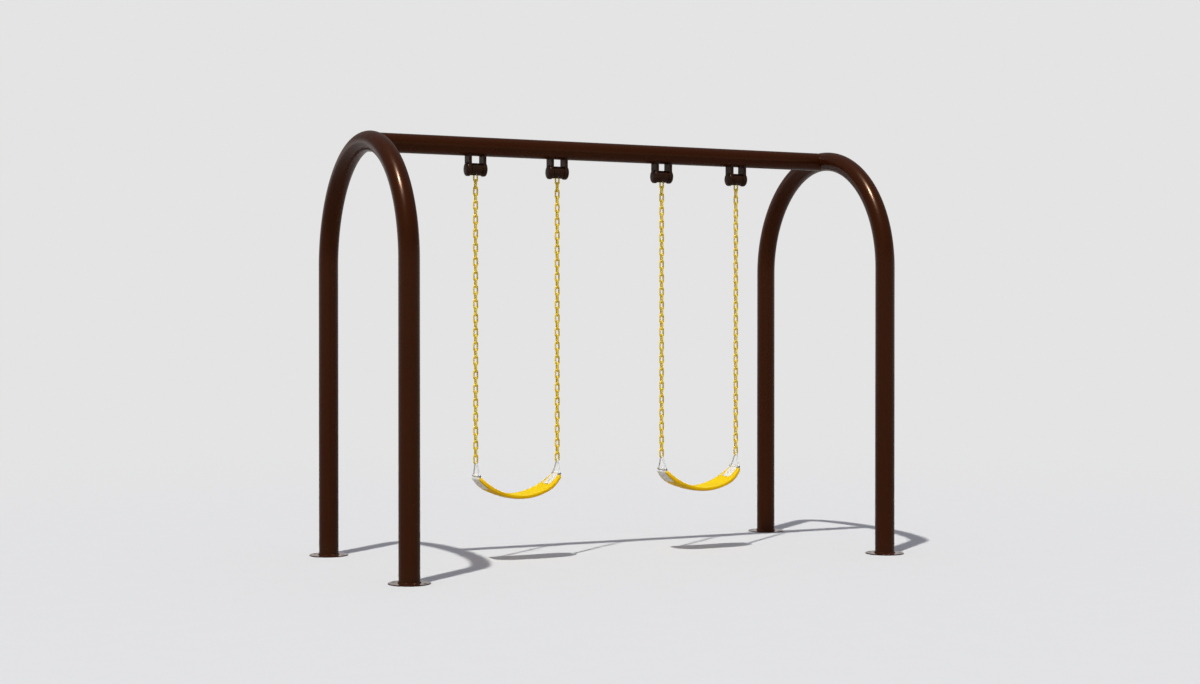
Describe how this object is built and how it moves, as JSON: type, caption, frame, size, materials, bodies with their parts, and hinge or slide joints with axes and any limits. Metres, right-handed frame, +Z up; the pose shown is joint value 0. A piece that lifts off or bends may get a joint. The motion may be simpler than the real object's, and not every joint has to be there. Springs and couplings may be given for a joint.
{
  "type": "swing set",
  "caption": "Playground swing set: belt seats on coated chains, hung from a pipe beam between bent-pipe arches on round base plates.",
  "frame": {"origin": "on the ground, midway between the four base plates", "axes": "+X along the beam, +Z up, swings move along Y"},
  "size_m": [3.376, 1.6638, 2.5498],
  "materials": {
    "frame_coat": "glossy dark brown powder coat",
    "hanger_coat": "semi-gloss near-black brown powder coat",
    "dark_bolt": "dark satin steel",
    "chain_coating": "glossy yellow dipped coating over steel links",
    "belt_rubber": "matt yellow moulded rubber",
    "plate_metal": "satin pale metal",
    "bow_wire": "polished steel rod",
    "bearing_steel": "ground bearing steel",
    "zinc_steel": "zinc plated steel"
  },
  "bodies": {
    "frame": {"left_arch": "frame_coat", "right_arch": "frame_coat", "beam": "frame_coat", "base_plates": "frame_coat", "beam_spigots": "zinc_steel", "spigot_bolts": "dark_bolt", "spigot_nuts": "zinc_steel", "left_outer_hanger": "hanger_coat", "left_inner_hanger": "hanger_coat", "right_inner_hanger": "hanger_coat", "right_outer_hanger": "hanger_coat", "bearing_outer_rings": "bearing_steel", "bearing_balls": "bearing_steel", "bearing_caps": "hanger_coat"},
    "left_outer_pivot": {"left_outer_axle": "zinc_steel", "left_outer_barrel": "hanger_coat", "left_outer_inner_rings": "bearing_steel", "left_outer_axle_clips": "zinc_steel", "left_outer_chain_pin": "zinc_steel"},
    "left_outer_chain": {"left_outer_chain": "chain_coating"},
    "left_outer_end_link": {"left_outer_end_link": "chain_coating"},
    "left_inner_pivot": {"left_inner_axle": "zinc_steel", "left_inner_barrel": "hanger_coat", "left_inner_inner_rings": "bearing_steel", "left_inner_axle_clips": "zinc_steel", "left_inner_chain_pin": "zinc_steel"},
    "left_inner_chain": {"left_inner_chain": "chain_coating"},
    "left_inner_end_link": {"left_inner_end_link": "chain_coating"},
    "left_seat": {"left_belt": "belt_rubber", "left_inner_face_plates": "plate_metal", "left_outer_face_plates": "plate_metal", "left_plate_rivets": "zinc_steel", "left_outer_bow": "bow_wire", "left_inner_bow": "bow_wire", "left_bow_bolts": "dark_bolt", "left_bow_nuts": "zinc_steel"},
    "right_outer_pivot": {"right_outer_axle": "zinc_steel", "right_outer_barrel": "hanger_coat", "right_outer_inner_rings": "bearing_steel", "right_outer_axle_clips": "zinc_steel", "right_outer_chain_pin": "zinc_steel"},
    "right_outer_chain": {"right_outer_chain": "chain_coating"},
    "right_outer_end_link": {"right_outer_end_link": "chain_coating"},
    "right_inner_pivot": {"right_inner_axle": "zinc_steel", "right_inner_barrel": "hanger_coat", "right_inner_inner_rings": "bearing_steel", "right_inner_axle_clips": "zinc_steel", "right_inner_chain_pin": "zinc_steel"},
    "right_inner_chain": {"right_inner_chain": "chain_coating"},
    "right_inner_end_link": {"right_inner_end_link": "chain_coating"},
    "right_seat": {"right_belt": "belt_rubber", "right_inner_face_plates": "plate_metal", "right_outer_face_plates": "plate_metal", "right_plate_rivets": "zinc_steel", "right_outer_bow": "bow_wire", "right_inner_bow": "bow_wire", "right_bow_bolts": "dark_bolt", "right_bow_nuts": "zinc_steel"}
  },
  "joints": [
    {"name": "left_swing", "type": "hinge", "parent": "frame", "child": "left_outer_pivot", "pos_m": [-0.8835, 0, 2.352], "axis": [1, 0, 0], "range_deg": [-60, 60]},
    {"name": "left_sway", "type": "hinge", "parent": "left_outer_pivot", "child": "left_outer_chain", "pos_m": [-0.8835, 0, 2.32225], "axis": [0, 1, 0], "range_deg": [-8, 8]},
    {"name": "left_level", "type": "hinge", "parent": "left_outer_chain", "child": "left_outer_end_link", "pos_m": [-0.8835, 0, 0.63215], "axis": [0, 1, 0], "range_deg": [-8, 8]},
    {"name": "left_swing_inner", "type": "hinge", "parent": "frame", "child": "left_inner_pivot", "pos_m": [-0.346, 0, 2.352], "axis": [1, 0, 0], "range_deg": [-60, 60]},
    {"name": "left_sway_inner", "type": "hinge", "parent": "left_inner_pivot", "child": "left_inner_chain", "pos_m": [-0.346, 0, 2.32225], "axis": [0, 1, 0], "range_deg": [-8, 8]},
    {"name": "left_level_inner", "type": "hinge", "parent": "left_inner_chain", "child": "left_inner_end_link", "pos_m": [-0.346, 0, 0.63215], "axis": [0, 1, 0], "range_deg": [-8, 8]},
    {"name": "left_tilt", "type": "hinge", "parent": "left_outer_end_link", "child": "left_seat", "pos_m": [-0.8835, 0, 0.59105], "axis": [1, 0, 0], "range_deg": [-25, 25]},
    {"name": "right_swing", "type": "hinge", "parent": "frame", "child": "right_outer_pivot", "pos_m": [0.9135, 0, 2.352], "axis": [1, 0, 0], "range_deg": [-60, 60]},
    {"name": "right_sway", "type": "hinge", "parent": "right_outer_pivot", "child": "right_outer_chain", "pos_m": [0.9135, 0, 2.32225], "axis": [0, 1, 0], "range_deg": [-8, 8]},
    {"name": "right_level", "type": "hinge", "parent": "right_outer_chain", "child": "right_outer_end_link", "pos_m": [0.9135, 0, 0.63215], "axis": [0, 1, 0], "range_deg": [-8, 8]},
    {"name": "right_swing_inner", "type": "hinge", "parent": "frame", "child": "right_inner_pivot", "pos_m": [0.376, 0, 2.352], "axis": [1, 0, 0], "range_deg": [-60, 60]},
    {"name": "right_sway_inner", "type": "hinge", "parent": "right_inner_pivot", "child": "right_inner_chain", "pos_m": [0.376, 0, 2.32225], "axis": [0, 1, 0], "range_deg": [-8, 8]},
    {"name": "right_level_inner", "type": "hinge", "parent": "right_inner_chain", "child": "right_inner_end_link", "pos_m": [0.376, 0, 0.63215], "axis": [0, 1, 0], "range_deg": [-8, 8]},
    {"name": "right_tilt", "type": "hinge", "parent": "right_outer_end_link", "child": "right_seat", "pos_m": [0.9135, 0, 0.59105], "axis": [1, 0, 0], "range_deg": [-25, 25]}
  ],
  "couplings": [
    {"joint": "left_level", "follows": "left_sway", "ratio": -1},
    {"joint": "left_swing_inner", "follows": "left_swing", "ratio": 1},
    {"joint": "left_sway_inner", "follows": "left_sway", "ratio": 1},
    {"joint": "left_level_inner", "follows": "left_sway", "ratio": -1},
    {"joint": "right_level", "follows": "right_sway", "ratio": -1},
    {"joint": "right_swing_inner", "follows": "right_swing", "ratio": 1},
    {"joint": "right_sway_inner", "follows": "right_sway", "ratio": 1},
    {"joint": "right_level_inner", "follows": "right_sway", "ratio": -1}
  ]
}
